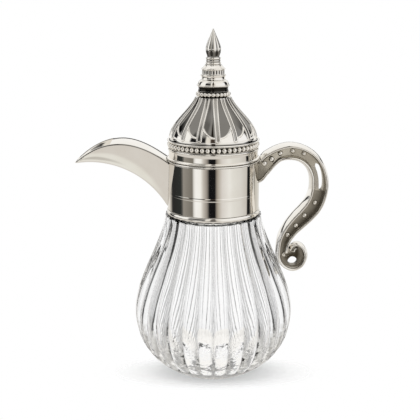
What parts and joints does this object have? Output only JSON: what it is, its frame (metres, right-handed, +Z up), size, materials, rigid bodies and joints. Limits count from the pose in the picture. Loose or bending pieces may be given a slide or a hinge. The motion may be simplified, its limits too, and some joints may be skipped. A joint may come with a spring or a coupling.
{
  "type": "covered pouring jug",
  "caption": "Covered pouring jug: ribbed pear-shaped glass body, polished metal collar with beak spout and scroll handle, lift-off domed lid with turned finial.",
  "frame": {"origin": "centre of the flat foot of the glass body", "axes": "+Z up along the jug's axis to the finial's tip; -X towards the spout's tip; +X towards the handle; +Y away from the viewer"},
  "size_m": [0.2168, 0.1382, 0.3],
  "materials": {
    "clear_glass": "clear pressed glass, polished",
    "polished_nickel": "mirror-polished nickel-chrome plate",
    "stainless_steel": "plain turned steel",
    "white_plastic": "moulded food-grade plastic",
    "clear_silicone": "translucent silicone rubber"
  },
  "bodies": {
    "jug": {"glass_body": "clear_glass", "neck_band": "white_plastic", "neck_seal": "clear_silicone", "collar_base_ring": "polished_nickel", "collar_shell": "polished_nickel", "collar_liner": "white_plastic", "collar_rim_ring": "polished_nickel", "spout_trough": "polished_nickel", "spout_cover": "polished_nickel", "handle": "polished_nickel", "handle_screw_near": "stainless_steel", "handle_screw_far": "stainless_steel"},
    "lid": {"lid_plug": "white_plastic", "lid_seal": "clear_silicone", "lid_skirt": "polished_nickel", "lid_bead_band": "polished_nickel", "lid_dome_ring": "polished_nickel", "lid_dome": "polished_nickel", "finial_bead_ring": "polished_nickel", "finial_cup": "polished_nickel", "finial_spool": "polished_nickel", "finial_crown": "polished_nickel", "finial_rings": "polished_nickel", "finial_bud": "polished_nickel", "lid_stud": "stainless_steel", "lid_washer": "clear_silicone", "lid_nut": "stainless_steel"}
  },
  "joints": [
    {"name": "lid_lift", "type": "slide", "parent": "jug", "child": "lid", "axis": [0, 0, 1], "range_m": [0, 0.06]}
  ]
}
